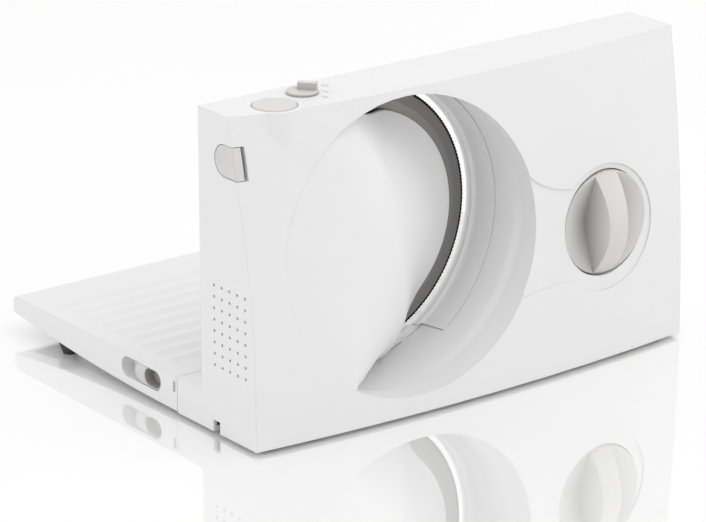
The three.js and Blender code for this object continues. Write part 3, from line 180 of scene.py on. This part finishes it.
# Finishes, one for each material slot of the record
def plastic(name, color, roughness, edge, grain=GRAIN_SCALE, vary=0.02, crease_shade=None):
    """Moulded plastic, with painted shade in its creases and hollows if a shade colour is given."""
    material, tree, shader = new_material(name)
    cloud = noise(tree, CLOUD_SCALE)
    fine = noise(tree, grain, 2.0)
    tone = ramp(tree, cloud, shade(color, 1.0 - vary), color)
    # Painted shade: an ambient-occlusion node mixes the colour towards the shade colour where creases and
    # hollows would lie in shade.
    if crease_shade is not None:
        corner = tree.nodes.new("ShaderNodeAmbientOcclusion")
        corner.samples = CREASE_SHADE_SAMPLES
        corner.inputs["Distance"].default_value = CREASE_SHADE_REACH
        tint = tree.nodes.new("ShaderNodeMix")
        tint.data_type = "RGBA"
        tint.inputs["A"].default_value = (*crease_shade, 1.0)
        link(tree, corner.outputs["AO"], tint.inputs["Factor"])
        link(tree, tone, tint.inputs["B"])
        tone = tint.outputs["Result"]
    link(tree, tone, shader.inputs["Base Color"])
    link(tree, spread(tree, cloud, roughness - 0.03, roughness + 0.03), shader.inputs["Roughness"])
    soft_edges(tree, shader, edge, fine)
    return material


def metal(name, color, roughness, stretch=(1.0, 1.0, 1.0)):
    """Plain metal with a fine grain, drawn out along one axis if a stretch is given."""
    material, tree, shader = new_material(name)
    grain = noise(tree, STEEL_GRAIN_SCALE, 4.0, stretch)
    link(tree, ramp(tree, grain, shade(color, 0.85), color), shader.inputs["Base Color"])
    link(tree, spread(tree, grain, roughness - 0.08, roughness + 0.08), shader.inputs["Roughness"])
    shader.inputs["Metallic"].default_value = 1.0
    soft_edges(tree, shader, STEEL_EDGE, grain)
    return material


def ground_steel(name, color, edge_color, roughness, centre, edge_from, edge_to):
    """Steel with rings from grinding round a centre, and a darker edge beyond a radius."""
    material, tree, shader = new_material(name)
    place = tree.nodes.new("ShaderNodeTexCoord")
    aside = tree.nodes.new("ShaderNodeVectorMath")
    aside.operation = "SUBTRACT"
    aside.inputs[1].default_value = centre
    flat = tree.nodes.new("ShaderNodeVectorMath")
    flat.operation = "MULTIPLY"
    flat.inputs[1].default_value = (1.0, 0.0, 1.0)
    radius = tree.nodes.new("ShaderNodeVectorMath")
    radius.operation = "LENGTH"
    link(tree, place.outputs["Object"], aside.inputs[0])
    link(tree, aside.outputs["Vector"], flat.inputs[0])
    link(tree, flat.outputs["Vector"], radius.inputs[0])
    texture = tree.nodes.new("ShaderNodeTexNoise")
    texture.noise_dimensions = "1D"
    texture.inputs["Scale"].default_value = RING_SCALE
    texture.inputs["Detail"].default_value = 4.0
    link(tree, radius.outputs["Value"], texture.inputs["W"])
    rings = texture.outputs["Fac"]
    edge = tree.nodes.new("ShaderNodeMapRange")
    edge.inputs["From Min"].default_value = edge_from
    edge.inputs["From Max"].default_value = edge_to
    link(tree, radius.outputs["Value"], edge.inputs["Value"])
    tint = tree.nodes.new("ShaderNodeMix")
    tint.data_type = "RGBA"
    tint.inputs["B"].default_value = (*edge_color, 1.0)
    link(tree, edge.outputs["Result"], tint.inputs["Factor"])
    link(tree, ramp(tree, rings, shade(color, 0.9), color), tint.inputs["A"])
    link(tree, tint.outputs["Result"], shader.inputs["Base Color"])
    link(tree, spread(tree, rings, roughness - 0.06, roughness + 0.06), shader.inputs["Roughness"])
    shader.inputs["Metallic"].default_value = 1.0
    soft_edges(tree, shader, RIM_EDGE, rings, 0.03)
    return material


blade_low, blade_high = (Vector(corner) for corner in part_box("blade"))
blade_centre = (blade_low + blade_high) / 2
blade_radius = (blade_high.x - blade_low.x) / 2
ground_from = blade_radius - GROUND_EDGE
finishes = {
    "white_plastic": plastic("white_plastic", (0.86, 0.86, 0.86), 0.38, 0.0005),
    # The grey parts get painted shade in their creases, darkening towards this colour.
    "grey_plastic": plastic("grey_plastic", (0.72, 0.71, 0.69), 0.42, 0.0008,
                            crease_shade=(0.22, 0.22, 0.21)),
    "natural_plastic": plastic("natural_plastic", (0.8, 0.76, 0.66), 0.5, 0.0006),
    "black_plastic": plastic("black_plastic", (0.03, 0.03, 0.03), 0.5, 0.0006),
    "blade_steel": ground_steel("blade_steel", (0.29, 0.285, 0.275), (0.008, 0.008, 0.008), 0.42,
                                blade_centre, ground_from, ground_from + TOOTH_DEPTH),
    "bright_steel": metal("bright_steel", (0.6, 0.6, 0.61), 0.3, (1.0, 0.1, 1.0)),
    "bush_brass": metal("bush_brass", (0.62, 0.47, 0.2), 0.35),
    "foot_rubber": plastic("foot_rubber", (0.045, 0.045, 0.045), 0.7, 0.0008, 500.0, 0.2),
}
for part in frame["record"]["subparts"]:
    node = nodes[part["node"]]
    node.data.materials.clear()
    node.data.materials.append(finishes[part["material_slot"]])


def smooth(mesh):
    """Shades gentle bends as smooth and leaves corners sharp. No point moves."""
    places = [tuple(round(c, PLACE_DIGITS) for c in vertex.co) for vertex in mesh.vertices]
    faces_at = {}
    for polygon in mesh.polygons:
        for vertex in polygon.vertices:
            faces_at.setdefault(places[vertex], []).append(polygon)
    normals = []
    for polygon in mesh.polygons:
        polygon.use_smooth = True
        for vertex in polygon.vertices:
            total = Vector()
            for other in faces_at[places[vertex]]:
                if polygon.normal.angle(other.normal, math.pi) < BEND_LIMIT:
                    total += other.normal * other.area
            normals.append(total.normalized() if total.length > 0 else polygon.normal.copy())
    mesh.normals_split_custom_set(normals)


for node in nodes.values():
    smooth(node.data)


# Pieces made here
def add_piece(name, shape, material, body):
    mesh = bpy.data.meshes.new(name)
    bmesh.ops.recalc_face_normals(shape, faces=shape.faces)
    shape.to_mesh(mesh)
    shape.free()
    mesh.materials.append(material)
    piece = bpy.data.objects.new(name, mesh)
    scene.collection.objects.link(piece)
    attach(piece, body)
    return piece


def join_rings(shape, rings):
    """Faces between each ring of points and the next, and from the last ring to the first."""
    count = len(rings[0])
    for ring, other in zip(rings, rings[1:] + rings[:1]):
        for i in range(count):
            after = (i + 1) % count
            shape.faces.new((ring[i], ring[after], other[after], other[i]))


def serrated_blade():
    """Thin disc with a long bevel and a scalloped saw edge, closed round its bore."""
    front, back = blade_low.y, blade_high.y
    thick = back - front
    profile = (  # radius, depth of the teeth and y
        (BLADE_BORE, 0.0, front),
        (blade_radius - BLADE_BEVEL, 0.0, front),
        (ground_from, 0.0, back - thick * GROUND_THICK),
        (blade_radius, TOOTH_DEPTH, back - thick * TIP_THICK),
        (blade_radius, TOOTH_DEPTH, back),
        (BLADE_BORE, 0.0, back),
    )
    steps = BLADE_TEETH * TOOTH_STEPS
    shape = bmesh.new()
    rings = []
    for radius, depth, y in profile:
        ring = []
        for step in range(steps):
            angle = 2 * math.pi * step / steps
            along = (step % TOOTH_STEPS) / TOOTH_STEPS
            reach = radius - depth * math.sin(math.pi * along)
            x, z = blade_centre.x + reach * math.cos(angle), blade_centre.z + reach * math.sin(angle)
            ring.append(shape.verts.new((x, y, z)))
        rings.append(ring)
    join_rings(shape, rings)
    return shape


blade = add_piece("serrated_blade", serrated_blade(), finishes["blade_steel"], "blade_set")
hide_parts("blade")


def loop_mark(shape, x, y, low, high):
    """Oval ring, the sign for off."""
    angles = [2 * math.pi * i / LOOP_STEPS for i in range(LOOP_STEPS)]
    rings = []
    for inset, z in ((0.0, low), (0.0, high), (MARK_STROKE, high), (MARK_STROKE, low)):
        wide, long = MARK_HEIGHT * LOOP_HALF_WIDTH - inset, MARK_HEIGHT / 2 - inset
        rings.append([shape.verts.new((x + wide * math.cos(a), y + long * math.sin(a), z)) for a in angles])
    join_rings(shape, rings)


def bar_mark(shape, x, y, low, high):
    """Upright stroke with cut corners."""
    half, long, cut = MARK_STROKE / 2, MARK_HEIGHT / 2, MARK_STROKE / 4
    outline = [(-half, cut - long), (cut - half, -long), (half - cut, -long), (half, cut - long),
               (half, long - cut), (half - cut, long), (cut - half, long), (-half, long - cut)]
    foot = [shape.verts.new((x + a, y + b, low)) for a, b in outline]
    top = [shape.verts.new((x + a, y + b, high)) for a, b in outline]
    shape.faces.new(foot)
    shape.faces.new(top)
    for i in range(len(outline)):
        after = (i + 1) % len(outline)
        shape.faces.new((foot[i], foot[after], top[after], top[i]))


def selector_marks():
    """0, I and II beside the selector, printed on the top of the wall."""
    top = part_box("main_housing")[1][2]
    low, high = top - MARK_PROUD, top + MARK_PROUD
    shape = bmesh.new()
    (x, y), (one_x, one_y), (two_x, two_y) = MARK_PLACES
    loop_mark(shape, x, y, low, high)
    bar_mark(shape, one_x, one_y, low, high)
    bar_mark(shape, two_x - MARK_STROKE, two_y, low, high)
    bar_mark(shape, two_x + MARK_STROKE, two_y, low, high)
    return shape


ink = plastic("mark_ink", (0.6, 0.59, 0.58), 0.5, 0.00005)
add_piece("selector_marks", selector_marks(), ink, "housing")

# Floor: pale, half polished, and as white as the background where nothing shades it
bpy.ops.mesh.primitive_plane_add(size=FLOOR_SIZE, location=(0.0, 0.0, FLOOR_Z))
floor = bpy.context.object
floor.name = "floor"
material, tree, shader = new_material("floor_pale")
shader.inputs["Roughness"].default_value = FLOOR_ROUGHNESS
link(tree, ramp(tree, noise(tree, FLOOR_CLOUD_SCALE), *FLOOR_TONES), shader.inputs["Base Color"])
sheen = tree.nodes.new("ShaderNodeBsdfGlossy")
sheen.inputs["Color"].default_value = WHITE
sheen.inputs["Roughness"].default_value = POLISH_ROUGHNESS
polish = tree.nodes.new("ShaderNodeMixShader")
polish.inputs["Fac"].default_value = FLOOR_POLISH
link(tree, shader.outputs["BSDF"], polish.inputs[1])
link(tree, sheen.outputs["BSDF"], polish.inputs[2])
path = tree.nodes.new("ShaderNodeLightPath")
glow = tree.nodes.new("ShaderNodeEmission")
link(tree, spread(tree, path.outputs["Is Camera Ray"], 0.0, FLOOR_GLOW), glow.inputs["Strength"])
both = tree.nodes.new("ShaderNodeAddShader")
link(tree, polish.outputs["Shader"], both.inputs[0])
link(tree, glow.outputs["Emission"], both.inputs[1])
link(tree, both.outputs["Shader"], tree.nodes["Material Output"].inputs["Surface"])
floor.data.materials.append(material)

# World: white where it is seen or mirrored, and a little less as light on the object
world = bpy.data.worlds.new("studio")
scene.world = world
world.use_nodes = True
tree = world.node_tree
background = tree.nodes["Background"]
background.inputs["Color"].default_value = WHITE
path = tree.nodes.new("ShaderNodeLightPath")
shown = path.outputs["Is Camera Ray"]
for output in ("Is Glossy Ray", "Is Transmission Ray"):
    larger = tree.nodes.new("ShaderNodeMath")
    larger.operation = "MAXIMUM"
    link(tree, shown, larger.inputs[0])
    link(tree, path.outputs[output], larger.inputs[1])
    shown = larger.outputs["Value"]
link(tree, spread(tree, shown, WORLD_LIGHT, WORLD_SEEN), background.inputs["Strength"])


def aim(thing, direction):
    """Turns a lamp or camera to look along a direction, upright."""
    thing.rotation_euler = direction.to_track_quat("-Z", "Y").to_euler()


for name, place, size, watts in LAMPS:
    lamp = bpy.data.lights.new(name, "AREA")
    lamp.shape = "SQUARE"
    lamp.size = size
    lamp.energy = watts
    softbox = bpy.data.objects.new(name, lamp)
    scene.collection.objects.link(softbox)
    softbox.location = place
    aim(softbox, Vector(LAMP_TARGET) - Vector(place))

# Camera at the photograph's angle
camera_data = bpy.data.cameras.new("camera")
camera_data.sensor_width = CAMERA_SENSOR
camera_data.lens = CAMERA_LENS
camera_data.clip_end = CAMERA_CLIP_END
camera = bpy.data.objects.new("camera", camera_data)
scene.collection.objects.link(camera)
bpy.context.scene.camera = camera
camera.location = CAMERA_PLACE
level = math.cos(CAMERA_ELEVATION)
aim(camera, Vector((math.sin(CAMERA_AZIMUTH) * level, math.cos(CAMERA_AZIMUTH) * level,
                    -math.sin(CAMERA_ELEVATION))))
